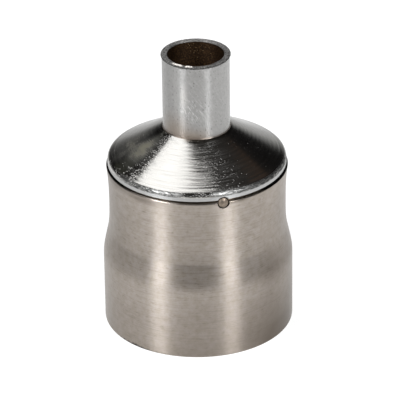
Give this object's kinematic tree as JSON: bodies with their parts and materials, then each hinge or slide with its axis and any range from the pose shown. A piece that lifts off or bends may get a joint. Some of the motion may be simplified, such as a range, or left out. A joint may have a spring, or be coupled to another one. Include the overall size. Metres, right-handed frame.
{
  "type": "hot air nozzle",
  "caption": "Round hot air nozzle: a waisted steel sleeve that slides over a heater tube, a plated cone cap keyed by a domed pin, and a straight outlet tube.",
  "frame": {"origin": "centre of the sleeve's open end, on the nozzle's axis", "axes": "+Z along the nozzle's axis towards the outlet, -Y towards the locating pin"},
  "size_m": [0.027, 0.027, 0.0412],
  "materials": {
    "sleeve": "fine circumferential brushing, warm grey",
    "cone_cap": "bright plating over fine turning lines",
    "outlet_tube": "satin plating, faintly scratched",
    "locating_pin": "heat-tinted, domed end"
  },
  "bodies": {
    "root": {"sleeve": "sleeve", "cone_cap": "cone_cap", "outlet_tube": "outlet_tube", "locating_pin": "locating_pin"}
  },
  "joints": []
}
